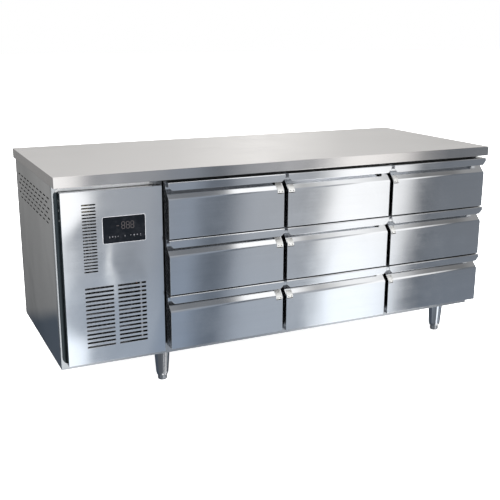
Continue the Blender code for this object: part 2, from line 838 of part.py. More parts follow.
def build_condenser_fan():
    x0, x1 = FAN_X - 0.1275, FAN_X + 0.1275
    y0 = FRONT + 0.175 + GAP
    z0, z1 = BODY_BOTTOM + SHEET + 2 * GAP, FAN_Z + 0.135
    shroud = piece(
        "condenser_fan_motor",
        Shape().box((x0, y0, z0), (x1, y0 + 0.030, z1)),
        steel("condenser_fan_motor", (0.05, 0.05, 0.055), 0.5, 0.2),
    )
    cut(shroud, Shape().prism(circle_outline(FAN_X, FAN_Z, FAN_R + 0.006, 32), 1, y0 - 0.01, y0 + 0.05))
    behind = FRONT + 0.255
    carrier = Shape()
    for sign in (-1, 1):
        near = sorted((FAN_X + sign * 0.110, FAN_X + sign * 0.124))
        carrier.box((near[0], y0 + 0.020, FAN_Z - 0.010), (near[1], behind + 0.006, FAN_Z + 0.010))
    join(shroud, carrier)
    bar = Shape().box(
        (FAN_X - 0.120, behind, FAN_Z - 0.009), (FAN_X + 0.120, behind + 0.005, FAN_Z + 0.009)
    )
    join(shroud, bar)
    start = FAN_Y[1] + GAP
    profile = [
        (0.0, start),
        (0.026, start),
        (0.034, start + 0.006),
        (0.034, start + 0.050),
        (0.028, start + 0.056),
        (0.0, start + 0.056),
    ]
    join(shroud, Shape().lathe(profile, 20, 1, (FAN_X, 0.0, FAN_Z)))
    rounded_shading(shroud)
    centre = (FAN_X, 0.5 * (FAN_Y[0] + FAN_Y[1]), FAN_Z)
    profile = [
        (0.0, FAN_Y[0]),
        (FAN_HUB_R - 0.003, FAN_Y[0]),
        (FAN_HUB_R, FAN_Y[0] + 0.003),
        (FAN_HUB_R, FAN_Y[1]),
        (0.0, FAN_Y[1]),
    ]
    hub = Shape().lathe(profile, 20, 1, (FAN_X, 0.0, FAN_Z))
    fan = piece(
        "condenser_fan", hub, steel("condenser_fan", (0.04, 0.04, 0.045), 0.4, 0.0), at=centre
    )
    for index in range(FAN_BLADES):
        join(fan, fan_blade(2 * math.pi * index / FAN_BLADES, centre[1]))
    rounded_shading(fan)


def fan_blade(turn, middle):
    """A twisted blade from inside the hub to the tip, as a lofted strip 2 mm thick."""
    steps = 4
    rows = []
    for i in range(steps + 1):
        share = i / steps
        radius = FAN_HUB_R - 0.006 + share * (FAN_R - FAN_HUB_R + 0.006)
        half = 0.26 + 0.20 * share
        pitch = 0.010 + 0.002 * share
        corners = []
        for across, along in ((-1, -1), (1, 1)):
            angle = turn + across * half * (0.75 if i == 0 else 1.0)
            y = middle + along * pitch
            x = FAN_X + radius * math.cos(angle)
            z = FAN_Z + radius * math.sin(angle)
            corners.append((x, y - 0.001, z))
            corners.append((x, y + 0.001, z))
        rows.append([corners[0], corners[2], corners[3], corners[1]])
    shape = Shape()
    points = [p for row in rows for p in row]
    faces = [(0, 1, 2, 3), tuple(4 * steps + i for i in range(4))]
    for i in range(steps):
        for j in range(4):
            k = (j + 1) % 4
            faces.append((4 * i + j, 4 * i + k, 4 * i + 4 + k, 4 * i + 4 + j))
    return shape.add(points, faces)


def build_evaporator():
    """Finned coil on the back wall, behind a louvred cover with round fan mouths."""
    x0, x1 = -0.380, 0.760
    y0, y1 = FRONT + 0.620, LINER_BACK - GAP
    z0, z1 = BODY_BOTTOM + 0.360, BODY_BOTTOM + 0.600
    cover = piece(
        "evaporator_cover",
        Shape().tray(
            (x0, y0, z0),
            (x1, y1, z1),
            (x0 + THIN, y0 + THIN, z0 + THIN),
            (x1 - THIN, y1, z1 - THIN),
            1,
            1,
        ),
        steel("evaporator_cover", (0.70, 0.71, 0.72), 0.40),
    )
    mouths = Shape()
    for x in (-0.17, 0.19, 0.55):
        mouths.prism(circle_outline(x, 0.5 * (z0 + z1), 0.075, 24), 1, y0 - 0.01, y0 + 0.01)
    cut(cover, mouths)
    coil = piece(
        "evaporator_coil",
        Shape().box((x0 + 0.06, y1 - 0.040, z0 + 0.020), (x1 - 0.06, y1, z1 - 0.020)),
        steel("evaporator_coil", (0.62, 0.60, 0.56), 0.45),
    )
    grooves = Shape()
    count = 16
    pitch = (x1 - x0 - 0.16) / count
    for i in range(count):
        x = x0 + 0.08 + (i + 0.5) * pitch
        grooves.box((x - 0.3 * pitch, y1 - 0.060, z0 + 0.03), (x + 0.3 * pitch, y1 - 0.022, z1 - 0.03))
    cut(coil, grooves)


def build_gland():
    """Cable gland through the back of the compartment, with its locknut inside."""
    wall_in = BODY_BACK - SHEET
    wall_out = BODY_BACK
    profile = [
        (0.0, wall_in - 0.014),
        (0.0100, wall_in - 0.014),
        (0.0100, wall_in - 0.0065),
        (0.0140, wall_in - 0.0065),
        (0.0140, wall_in - GAP),
        (0.0100, wall_in - GAP),
        (0.0100, wall_out + GAP),
        (0.0140, wall_out + GAP),
        (0.0140, wall_out + 0.0060),
        (0.0085, wall_out + 0.0095),
        (0.0055, wall_out + 0.0095),
        (0.0055, wall_in - 0.008),
        (0.0, wall_in - 0.008),
    ]
    at = (GLAND_AT[0], 0.0, BODY_BOTTOM + GLAND_AT[1])
    gland = piece(
        "power_gland",
        Shape().lathe(profile, 16, 1, at),
        steel("power_gland", (0.03, 0.03, 0.03), 0.6, 0.0),
    )
    rounded_shading(gland)


def main():
    clear_scene()
    build_worktop()
    build_casing()
    build_front_frame()
    build_chamber()
    build_runner_racks()
    build_drawers()
    build_service_panel()
    build_legs()
    build_compressor()
    build_condenser()
    build_condenser_fan()
    build_evaporator()
    build_gland()


main()
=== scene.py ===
"""Looks for the refrigerated drawer counter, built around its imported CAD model."""

import math

import bmesh
import bpy
from mathutils import Matrix, Vector


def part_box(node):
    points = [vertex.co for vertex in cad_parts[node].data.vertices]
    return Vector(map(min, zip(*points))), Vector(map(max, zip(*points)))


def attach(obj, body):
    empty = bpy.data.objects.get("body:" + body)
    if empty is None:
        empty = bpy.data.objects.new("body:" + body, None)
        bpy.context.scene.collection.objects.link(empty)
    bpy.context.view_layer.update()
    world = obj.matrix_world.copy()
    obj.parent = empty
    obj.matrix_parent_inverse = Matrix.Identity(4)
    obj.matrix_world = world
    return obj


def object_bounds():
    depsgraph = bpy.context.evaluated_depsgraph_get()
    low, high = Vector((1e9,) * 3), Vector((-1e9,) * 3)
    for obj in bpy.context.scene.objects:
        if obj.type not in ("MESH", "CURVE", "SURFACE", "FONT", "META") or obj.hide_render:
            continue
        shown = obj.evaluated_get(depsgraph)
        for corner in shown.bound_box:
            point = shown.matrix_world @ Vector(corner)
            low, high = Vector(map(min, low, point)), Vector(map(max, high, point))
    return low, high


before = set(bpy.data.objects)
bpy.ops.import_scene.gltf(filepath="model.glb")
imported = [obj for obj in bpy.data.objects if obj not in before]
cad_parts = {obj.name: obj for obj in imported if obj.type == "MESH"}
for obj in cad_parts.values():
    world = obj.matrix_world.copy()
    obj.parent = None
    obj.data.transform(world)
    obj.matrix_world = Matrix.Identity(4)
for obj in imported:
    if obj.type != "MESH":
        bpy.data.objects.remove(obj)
cad_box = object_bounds()

# Metres in the row frame: +X right along the front, -Y out of it, +Z up.
FRONT = cad_box[0].y
BODY_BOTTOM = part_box("base_panel")[0].z
PANEL_LOW, PANEL_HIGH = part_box("service_panel")
GLASS_LOW, GLASS_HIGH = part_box("controller_display")
SHROUD_LOW, SHROUD_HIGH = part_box("condenser_fan_motor")
CORE_LOW, CORE_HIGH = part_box("condenser")
BAY_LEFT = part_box("side_panel_left")[1].x
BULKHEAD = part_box("insulation_body")[0].x
BACK_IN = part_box("back_panel")[0].y

# Heights on a drawer front, from the lower edge of its flat face.
FACE_FOOT = 0.0035  # how far that edge stands above the node's lowest point
SLOT_TOP = 0.1285
FOLD_START = (0.1325, 0.1345)
FOLD_Z = 0.137
CHAMFER_TOP = 0.1702
ROW_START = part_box("drawer_front_c1r3")[0].z + FACE_FOOT
ROW_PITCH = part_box("drawer_front_c1r2")[0].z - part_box("drawer_front_c1r3")[0].z


# ---------------------------------------------------------------- node helpers


class Nodes:
    """A shader tree, built one node at a time."""

    def __init__(self, tree):
        self.tree = tree

    def feed(self, socket, value):
        """Links a socket to another one, or gives it a number, a vector or a colour."""
        if isinstance(value, bpy.types.NodeSocket):
            self.tree.links.new(value, socket)
        elif isinstance(value, (tuple, list)) and len(value) == 3 and socket.type == "RGBA":
            socket.default_value = (*value, 1.0)
        else:
            socket.default_value = value

    def add(self, kind, inputs=None, **settings):
        node = self.tree.nodes.new("ShaderNode" + kind)
        for key, value in settings.items():
            setattr(node, key, value)
        for key, value in (inputs or {}).items():
            self.feed(node.inputs[key], value)
        return node

    def math(self, operation, a, b=0.0, c=0.0):
        return self.add("Math", {0: a, 1: b, 2: c}, operation=operation).outputs[0]

    def mix(self, factor, a, b, blend="MIX"):
        inputs = {0: factor, 6: a, 7: b}
        return self.add("Mix", inputs, data_type="RGBA", blend_type=blend).outputs[2]

    def split(self, vector):
        return self.add("SeparateXYZ", {0: vector}).outputs

    def span(self, value, low, high, to_low=0.0, to_high=1.0, smooth=True):
        """Value taken from low..high to to_low..to_high, and held there outside it."""
        inputs = {"Value": value, 1: low, 2: high, 3: to_low, 4: to_high}
        kind = "SMOOTHSTEP" if smooth else "LINEAR"
        return self.add("MapRange", inputs, interpolation_type=kind).outputs[0]


class Look(Nodes):
    """A procedural material."""

    def __init__(self, name):
        self.material = bpy.data.materials.new(name)
        self.material.use_nodes = True
        super().__init__(self.material.node_tree)
        self.shader = self.tree.nodes["Principled BSDF"]

    def set(self, **values):
        for key, value in values.items():
            self.feed(self.shader.inputs[key.replace("_", " ")], value)

    def place(self, scale=(1.0, 1.0, 1.0)):
        """Object coordinates in metres, stretched by scale."""
        spot = self.add("TexCoord").outputs["Object"]
        return self.add("Mapping", {"Vector": spot, "Scale": scale}).outputs[0]

    def noise(self, vector, scale=1.0, detail=2.0, roughness=0.5, distortion=0.0):
        inputs = {
            "Vector": vector,
            "Scale": scale,
            "Detail": detail,
            "Roughness": roughness,
            "Distortion": distortion,
        }
        return self.add("TexNoise", inputs).outputs[0]

    def toned(self, colour, shade):
        """A colour made lighter or darker by a factor."""
        grey = self.add("CombineColor", {0: shade, 1: shade, 2: shade}).outputs[0]
        return self.mix(1.0, colour, grey, "MULTIPLY")

    def painted_corner_shade(self, reach, samples, low, high, darkest):
        """Painted shade: a colour factor, 1 on open surfaces, falling to darkest in corners nearer
        than reach.
        """
        crevice = self.add("AmbientOcclusion", {"Distance": reach}, samples=samples)
        return self.span(crevice.outputs["AO"], low, high, darkest, 1.0)


def stretched(along, fine, long):
    """Mapping scale that repeats a texture long times a metre along the grain, fine across it."""
    return tuple(long if axis == along else fine for axis in "XYZ")


def steel(
    name,
    colour,
    roughness=0.28,
    along="X",
    anisotropy=0.75,
    streak=0.10,
    wave=0.0006,
    painted_shade=0.5,
    reach=0.03,
    groove=0.02,
    rounding=0.0012,
    folded=False,
    buckled=False,
):
    """Brushed sheet metal: grain along one axis, smudges, gentle waves and painted shade in
    crevices.

    Lengths are in metres: reach is how far the painted shade in a crevice reaches, wave how high
    the sheet's waves stand and rounding the radius its edges seem turned to. streak and groove are
    strengths, as is the one for the painted shade in crevices. A folded sheet has the grips' soft
    fold, a buckled one bows across its middle.
    """
    look = Look(name)
    grain = look.noise(look.place(stretched(along, 900.0, 6.0)), detail=1.0)
    streaks = look.noise(look.place(stretched(along, 170.0, 1.6)), detail=2.0, roughness=0.6)
    bands = look.noise(look.place(stretched(along, 26.0, 0.8)), detail=2.0)
    smudge = look.noise(look.place(), scale=5.5, detail=4.0, roughness=0.6)
    swell = look.noise(look.place(), scale=3.1, detail=1.5, distortion=0.4)
    mixed = look.math("MULTIPLY_ADD", streaks, 0.45, bands)
    mixed = look.math("MULTIPLY_ADD", grain, 0.35, mixed)
    tone = look.span(mixed, 0.35, 1.45, 1.0 - streak, 1.0 + streak, smooth=False)
    worn = look.span(smudge, 0.3, 0.72, 0.975, 1.02)
    shade = look.math("MULTIPLY", tone, worn)
    # Painted shade: ambient occlusion darkens the colour in crevices, in the gaps between parts
    # and under the grips' lips.
    shade = look.math("MULTIPLY", shade, look.painted_corner_shade(reach, 6, 0.10, 0.42, 1.0 - painted_shade))
    tint = look.toned(colour, shade)
    edge = look.add("Bevel", {"Radius": rounding}, samples=4).outputs[0]
    if folded:
        edge = soft_fold(look, edge)
    if buckled:
        edge = gentle_buckle(look, edge)
    rough = look.math("MULTIPLY_ADD", streaks, 0.03, roughness - 0.015)
    rough = look.math("ADD", rough, look.span(smudge, 0.35, 0.75, -0.01, 0.03))
    inputs = {"Height": swell, "Strength": 1.0, "Distance": wave, "Normal": edge}
    waves = look.add("Bump", inputs).outputs[0]
    fine = look.math("MULTIPLY_ADD", streaks, 0.6, grain)
    inputs = {"Height": fine, "Strength": groove, "Distance": 0.00025, "Normal": waves}
    grooves = look.add("Bump", inputs).outputs[0]
    look.set(Base_Color=tint, Roughness=rough, Metallic=1.0, Normal=grooves)
    if anisotropy:
        look.set(Anisotropic=anisotropy, Anisotropic_Rotation=0.25)
        direction = {axis: float(axis == along) for axis in "XYZ"}
        tangent = look.add("CombineXYZ", direction).outputs[0]
        look.set(Tangent=tangent)
    return look.material


def soft_fold(look, normal):
    """Normal over a drawer grip, whose pressed fold turns slowly from face into chamfer."""
    height = look.math("SUBTRACT", look.split(look.place())[2], ROW_START)
    local = look.math("MODULO", height, ROW_PITCH)
    lean = look.span(local, FOLD_Z - 0.0030, FOLD_Z + 0.0110, 0.0, math.radians(25.0))
    inputs = {
        "X": 0.0,
        "Y": look.math("MULTIPLY", look.math("COSINE", lean), -1.0),
        "Z": look.math("SINE", lean),
    }
    turned = look.add("CombineXYZ", inputs).outputs[0]
    facing = look.split(look.add("NewGeometry").outputs["Normal"])[1]
    outside = look.math("LESS_THAN", facing, -0.5)
    share = look.math("MULTIPLY", outside, look.span(local, *FOLD_START))
    share = look.math("MULTIPLY", share, look.math("LESS_THAN", local, CHAMFER_TOP))
    return look.add("Mix", {0: share, 4: normal, 5: turned}, data_type="VECTOR").outputs[1]


def gentle_buckle(look, normal):
    """Normal over the service panel, turned up to 0.7 degrees sideways about its middle."""
    x, _, z = look.split(look.place())
    bow = look.math("MULTIPLY", look.span(z, 0.18, 0.34), look.span(z, 0.58, 0.72, 1.0, 0.0))
    lean = look.math("MULTIPLY_ADD", bow, 0.0165, -0.0045)
    lean = look.math("MULTIPLY", lean, look.span(x, -0.70, -0.58, 1.0, 0.0))
    push = look.add("CombineXYZ", {"X": lean}).outputs[0]
    return look.add("VectorMath", {0: normal, 1: push}, operation="ADD").outputs[0]


def steel_with_painted_light(name, painted_shade_tone, painted_highlight_tone, low, high):
    """Steel with painted light: a dark painted-shade tone below, turning into a bright
    painted-highlight tone between two heights.
    """
    look = Look(name)
    height = look.split(look.place())[2]
    grain = look.noise(look.place((40.0, 40.0, 2.0)), detail=3.0)
    # Painted light by height: painted shade below low, a painted highlight above high.
    tint = look.mix(look.span(height, low, high), painted_shade_tone, painted_highlight_tone)
    tint = look.toned(tint, look.span(grain, 0.3, 0.7, 0.9, 1.1))
    rough = look.span(grain, 0.3, 0.7, 0.28, 0.38)
    bump = look.add("Bump", {"Height": grain, "Strength": 0.1, "Distance": 0.0003}).outputs[0]
    look.set(Base_Color=tint, Metallic=1.0, Roughness=rough, Normal=bump)
    return look.material


def coated(name, colour, roughness=0.5, bump=0.15, scale=900.0, variation=0.12):
    """Paint, plastic or rubber: fine texture, slight colour variation and painted shade in
    corners.
    """
    look = Look(name)
    spot = look.place()
    pores = look.noise(spot, scale=scale, detail=2.0)
    patches = look.noise(spot, scale=14.0, detail=4.0, roughness=0.6)
    tone = look.span(patches, 0.3, 0.7, 1.0 - variation, 1.0 + variation)
    # Painted shade: ambient occlusion darkens the colour in corners.
    shade = look.math("MULTIPLY", tone, look.painted_corner_shade(0.015, 4, 0.2, 0.9, 0.55))
    rough = look.math("MULTIPLY_ADD", patches, 0.16, roughness - 0.08)
    normal = look.add("Bump", {"Height": pores, "Strength": bump, "Distance": 0.0004}).outputs[0]
    look.set(Base_Color=look.toned(colour, shade), Roughness=rough, Normal=normal)
    return look.material


def display_glass():
    """Near-black glass with a little dust."""
    look = Look("display_glass")
    dust = look.noise(look.place(), scale=40.0, detail=5.0, roughness=0.65)
    tint = look.mix(look.span(dust, 0.45, 0.8), (0.004, 0.005, 0.007), (0.012, 0.013, 0.016))
    rough = look.span(dust, 0.35, 0.75, 0.05, 0.13)
    look.set(Base_Color=tint, Roughness=rough, Specular_IOR_Level=0.12)
    return look.material


def dress(node, material):
    """Gives a CAD node its finished material."""
    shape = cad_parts[node]
    if not shape.material_slots:
        shape.data.materials.append(material)
    for slot in shape.material_slots:
        slot.material = material


# ---------------------------------------------------------------- materials

BARE = {"anisotropy": 0.0}  # polished or rough metal with no brushed direction
POLISHED = (0.69, 0.70, 0.715)

WORKTOP = steel(
    "worktop_steel", (0.63, 0.61, 0.595), 0.13, anisotropy=1.0, wave=0.0002, streak=0.03
)
FRONTS = steel(
    "front_steel",
    POLISHED,
    0.08,
    anisotropy=1.0,
    wave=0.0006,
    streak=0.04,
    painted_shade=0.9,
    groove=0.008,
    rounding=0.002,
    folded=True,
)
PANEL = steel(
    "panel_steel",
    POLISHED,
    0.075,
    wave=0.0018,
    streak=0.02,
    anisotropy=0.6,
    buckled=True,
    groove=0.01,
)
FRAME = steel("frame_steel", (0.52, 0.53, 0.54), 0.22, painted_shade=0.9, reach=0.07)
CASING = steel(
    "casing_steel", (0.60, 0.605, 0.60), 0.07, along="Y", wave=0.0012, streak=0.03, **BARE
)
BACK = steel("back_steel", (0.52, 0.525, 0.52), 0.38, wave=0.0012, streak=0.05)
INSIDE = steel("interior_steel", (0.60, 0.61, 0.615), 0.34, along="Y", painted_shade=0.7, reach=0.05)
LEG = steel(
    "leg_steel",
    (0.66, 0.67, 0.69),
    0.07,
    along="Z",
    streak=0.03,
    wave=0.0002,
    painted_shade=0.3,
    rounding=0.0015,
    **BARE,
)
FOOT = steel("foot_steel", (0.5, 0.5, 0.5), 0.2, along="Z", streak=0.06, rounding=0.003, **BARE)
FINS = steel("fin_aluminium", (0.16, 0.165, 0.18), 0.5, along="Z", streak=0.2, **BARE)
STIFFENER = steel("stiffener_steel", (0.36, 0.37, 0.39), 0.4, along="Z", **BARE)
RIVET = steel("rivet_steel", (0.05, 0.05, 0.052), 0.4, along="Z", **BARE)
GALVANISED = steel("galvanised_steel", (0.09, 0.095, 0.105), 0.5, streak=0.12, **BARE)
TUBE = steel("tube_aluminium", (0.24, 0.25, 0.27), 0.4, streak=0.08, painted_shade=0.2, **BARE)
COPPER = steel("copper_pipe", (0.62, 0.30, 0.18), 0.3, along="Z", streak=0.12, **BARE)
SCREW = steel("screw_steel", (0.55, 0.55, 0.55), 0.25, along="Y", streak=0.05, **BARE)
# Painted light on the recess behind the service panel: painted shade below the panel's top edge, a
# painted highlight above it.
JAMB = steel_with_painted_light(
    "jamb_painted_shade_and_highlight",
    (0.055, 0.068, 0.075),
    (0.92, 0.92, 0.92),
    PANEL_HIGH.z - 0.003,
    PANEL_HIGH.z + 0.004,
)
FOAM = coated("insulation_foam", (0.66, 0.56, 0.34), 0.9, bump=0.5, scale=420.0)
GASKET = coated("gasket_rubber", (0.018, 0.018, 0.019), 0.62)
BLACK = coated("black_paint", (0.02, 0.02, 0.022), 0.42)
FAN = coated("fan_plastic", (0.03, 0.03, 0.033), 0.45)
GLAND = coated("gland_plastic", (0.02, 0.02, 0.02), 0.5)
TAB = coated("tab_grey", (0.43, 0.43, 0.42), 0.30, bump=0.05, variation=0.08)
MESH = coated("screen_black", (0.012, 0.012, 0.013), 0.7, bump=0.4, scale=600.0)
TERMINAL = coated("terminal_cream", (0.50, 0.46, 0.33), 0.45)
WIRE = coated("wire_grey", (0.20, 0.20, 0.20), 0.4)
SEGMENT = coated("segment_grey", (0.030, 0.025, 0.026), 0.5, bump=0.02, variation=0.25)
ICON = coated("icon_grey", (0.12, 0.12, 0.13), 0.5, bump=0.02, variation=0.25)
BEZEL = coated("bezel_silver", (0.50, 0.51, 0.54), 0.25, bump=0.05, scale=300.0)
GLASS = display_glass()

# By how a node's name starts; the first match counts, and every other node is interior steel.
LOOK_OF = {
    "worktop": WORKTOP,
    "side_panel": CASING,
    "base_panel": CASING,
    "back_panel": BACK,
    "front_frame": FRAME,
    "insulation_body": FOAM,
    "drawer_front": FRONTS,
    "drawer_gasket": GASKET,
    "service_panel": PANEL,
    "controller_display": GLASS,
    "leg_sleeve": LEG,
    "leveling_foot": FOOT,
    "compressor": BLACK,
    "condenser_fan_motor": BLACK,
    "condenser_fan": FAN,
    "condenser": FINS,
    "evaporator_coil": FINS,
    "power_gland": GLAND,
}

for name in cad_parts:
    matches = [look for start, look in LOOK_OF.items() if name.startswith(start)]
    dress(name, matches[0] if matches else INSIDE)


# ---------------------------------------------------------------- pieces the CAD leaves out


class Build:
    """Closed shapes in the row frame, gathered into one finished piece."""

    def __init__(self):
        self.shape = bmesh.new()

    def add(self, points, faces):
        made = [self.shape.verts.new(point) for point in points]
        for face in faces:
            self.shape.faces.new([made[i] for i in face])
        return self

    def prism(self, outline, axis, start, stop):
        """An outline in the plane across axis, drawn from start to stop along it."""
        count = len(outline)
        points = []
        for depth in (start, stop):
            for a, b in outline:
                spot = [a, b]
                spot.insert(axis, depth)
                points.append(spot)
        faces = [tuple(range(count)), tuple(range(2 * count - 1, count - 1, -1))]
        for i in range(count):
            j = (i + 1) % count
            faces.append((i, i + count, j + count, j))
        return self.add(points, faces)

    def box(self, low, high):
        outline = [(low[0], low[1]), (high[0], low[1]), (high[0], high[1]), (low[0], high[1])]
        return self.prism(outline, 2, low[2], high[2])

    def rings(self, rows):
        """A closed skin through rings of points, with a cap at each end."""
        count, total = len(rows[0]), len(rows) * len(rows[0])
        faces = [tuple(range(count)), tuple(range(total - 1, total - count - 1, -1))]
        for row in range(len(rows) - 1):
            for i in range(count):
                j = (i + 1) % count
                start = row * count
                faces.append((start + i, start + count + i, start + count + j, start + j))
        return self.add([point for row in rows for point in row], faces)

    def tube(self, path, radius, sides=12):
        """A round tube along a path of points, square to it everywhere."""
        turns = [2 * math.pi * k / sides for k in range(sides)]
        rows = []
        side = None
        for before, point, after in zip([path[0], *path], path, [*path[1:], path[-1]]):
            way = (after - before).normalized()
            if side is None:
                side = way.orthogonal().normalized()
            side = (side - way * side.dot(way)).normalized()
            other = way.cross(side)
            ring = [math.cos(turn) * side + math.sin(turn) * other for turn in turns]
            rows.append([point + radius * spoke for spoke in ring])
        return self.rings(rows)

    def lathe(self, profile, axis, centre, sides=20):
        """(radius, height) pairs turned about a line through centre; both ends have a radius."""
        rows = []
        for radius, height in profile:
            row = []
            for k in range(sides):
                turn = 2 * math.pi * k / sides
                spot = [radius * math.cos(turn), radius * math.sin(turn)]
                spot.insert(axis, height)
                row.append(Vector(centre) + Vector(spot))
            rows.append(row)
        return self.rings(rows)

    def piece(self, name, material, body, bevel=0.0):
        """Turns the shapes into one piece that rides on a body."""
        bmesh.ops.recalc_face_normals(self.shape, faces=self.shape.faces)
        if bevel:
            edges = [e for e in self.shape.edges if e.calc_face_angle(0.0) > 0.6]
            inputs = {"geom": edges, "offset": bevel, "segments": 2, "affect": "EDGES"}
            bmesh.ops.bevel(self.shape, profile=0.5, clamp_overlap=True, **inputs)
        mesh = bpy.data.meshes.new(name)
        self.shape.to_mesh(mesh)
        self.shape.free()
        mesh.shade_smooth()
        mesh.set_sharp_from_angle(angle=math.radians(35.0))
        mesh.materials.append(material)
        made = bpy.data.objects.new(name, mesh)
        bpy.context.scene.collection.objects.link(made)
        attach(made, body)


def rounded(points, radius, steps=5):
    """A path whose corners are turned with a radius."""
    points = [Vector(point) for point in points]
    path = [points[0]]
    for before, corner, after in zip(points, points[1:], points[2:]):
        start = corner + (before - corner).normalized() * radius
        stop = corner + (after - corner).normalized() * radius
        for i in range(steps + 1):
            t = i / steps
            path.append(start * (1 - t) ** 2 + corner * 2 * t * (1 - t) + stop * t**2)
    path.append(points[-1])
    return path


def corner_arc(centre, radius, start, stop, steps=6):
    """Points along an arc, whose angles are in degrees."""
    turns = [math.radians(start + (stop - start) * i / steps) for i in range(steps + 1)]
    return [(centre[0] + radius * math.cos(t), centre[1] + radius * math.sin(t)) for t in turns]


FACE_Y = FRONT + 0.005
HALF_FRONT = 0.2265
COLUMNS = ROWS = (1, 2, 3)
TAB_REACH = (0.0275, 0.0275, 0.0225)  # how far a tab reaches in from the front's end, by column
TAB_RISE = (0.031, 0.017, 0.017)  # how far it climbs the chamfer, by column
TAB_THICK = 0.0009
TAB_GAP = 0.0002


def build_grip_tab(column, row):
    """Folded tab at one end of a drawer's grip, down the chamfer, over the fold and into the
    slot, with its two pins. Column 1 has its tab at the right end, the others at the left.
    """
    cell = f"c{column}r{row}"
    body = f"drawer_{cell}"
    low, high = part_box(f"drawer_front_{cell}")
    middle = 0.5 * (low.x + high.x)
    foot = low.z + FACE_FOOT
    side = 1 if column == 1 else -1
    reach = TAB_REACH[column - 1]
    ends = sorted((middle + side * (HALF_FRONT - 0.0025), middle + side * (HALF_FRONT - reach)))
    rise = TAB_RISE[column - 1]
    slant = TAB_THICK * math.tan(math.radians(22.5))
    near = FACE_Y - TAB_GAP
    fold = foot + FOLD_Z
    tuck = foot + SLOT_TOP + 0.0003
    square = TAB_THICK * 0.7
    outline = [
        (near, tuck),
        (near, fold - TAB_GAP * 0.4),
        (near + rise, fold + rise),
        (near + rise - square, fold + rise + square),
        (near - TAB_THICK, fold + slant),
        (near - TAB_THICK, tuck),
    ]
    tab = Build().prism(outline, 0, ends[0], ends[1])
    tab.piece(f"grip_tab_{cell}", TAB, body, 0.0002)
    pins = Build()
    centre = 0.5 * (ends[0] + ends[1])
    for offset in (-0.006, 0.006):
        spot = (centre + offset, near - TAB_THICK, fold - 0.0035)
        pins.lathe([(0.0020, 0.0002), (0.0020, -0.0003), (0.0012, -0.0008)], 1, spot, 12)
    pins.piece(f"grip_pins_{cell}", RIVET, body)


def build_bay_surround():
    """Strip that closes the gap behind the service panel's left and top edges."""
    left, right = -0.8882, -0.5323
    low, high = BODY_BOTTOM + 0.0205, BODY_BOTTOM + 0.6487
    inner_x, inner_z = PANEL_LOW.x - 0.0006, PANEL_HIGH.z + 0.0006
    corner = 0.026
    outline = [(left, low)]
    outline += corner_arc((left + corner, high - corner), corner, 180.0, 90.0)
    outline += [(right, high), (right, inner_z), (inner_x, inner_z), (inner_x, low)]
    strip = Build().prism(outline, 1, FRONT + 0.0678, FRONT + 0.0688)
    # Its colour is painted light: painted shade down the left side, a painted highlight along the
    # top.
    strip.piece("bay_surround", JAMB, "cabinet", 0.0002)


def segment(spot, along, length, stroke):
    """Outline of one bar of a digit, pointed at both ends."""
    x, z = spot
    reach, side = length / 2, stroke / 2
    neck = reach - side
    marks = [(-reach, 0), (-neck, side), (neck, side), (reach, 0), (neck, -side), (-neck, -side)]
    if along == "X":
        return [(x + a, z + b) for a, b in marks]
    return [(x + b, z + a) for a, b in marks]


ON_GLASS = (GLASS_LOW.y - 0.00025, GLASS_LOW.y - 0.00005)  # digits and symbols stand on this
STROKE = 0.0026
DIGIT = (0.0105, 0.0240)
# Where each touch symbol stands across the display, its radius, corners and first corner's angle.
ICONS = (
    (0.147, 0.0026, 4, 45),
    (0.215, 0.0026, 8, 0),
    (0.282, 0.0026, 4, 0),
    (0.347, 0.0026, 3, 90),
    (0.509, 0.0016, 8, 0),
    (0.647, 0.0026, 3, -90),
    (0.729, 0.0026, 6, 0),
    (0.803, 0.0026, 4, 45),
    (0.882, 0.0026, 3, 90),
)


def build_bezel():
    """Thin rounded rim around the display's glass."""
    x0, x1, z0, z1 = GLASS_LOW.x, GLASS_HIGH.x, GLASS_LOW.z, GLASS_HIGH.z
    wide, back, corner = 0.0022, FRONT + 0.0398, 0.004
    inner, outer = [], []
    for x, z, start in ((x1, z1, 0), (x0, z1, 90), (x0, z0, 180), (x1, z0, 270)):
        centre = (x - corner if x == x1 else x + corner, z - corner if z == z1 else z + corner)
        inner += corner_arc(centre, corner + 0.0003, start, start + 90, 4)
        outer += corner_arc(centre, corner + wide, start, start + 90, 4)
    count = len(inner)
    points = [(x, y, z) for y in (back - 0.0016, back) for ring in (inner, outer) for x, z in ring]
    faces = []
    for i in range(count):
        j = (i + 1) % count
        faces.append((i, j, count + j, count + i))
        faces.append((2 * count + i, 3 * count + i, 3 * count + j, 2 * count + j))
        faces.append((i, 2 * count + i, 2 * count + j, j))
        faces.append((count + i, count + j, 3 * count + j, 3 * count + i))
    Build().add(points, faces).piece("display_bezel", BEZEL, "service_panel_body", 0.0003)


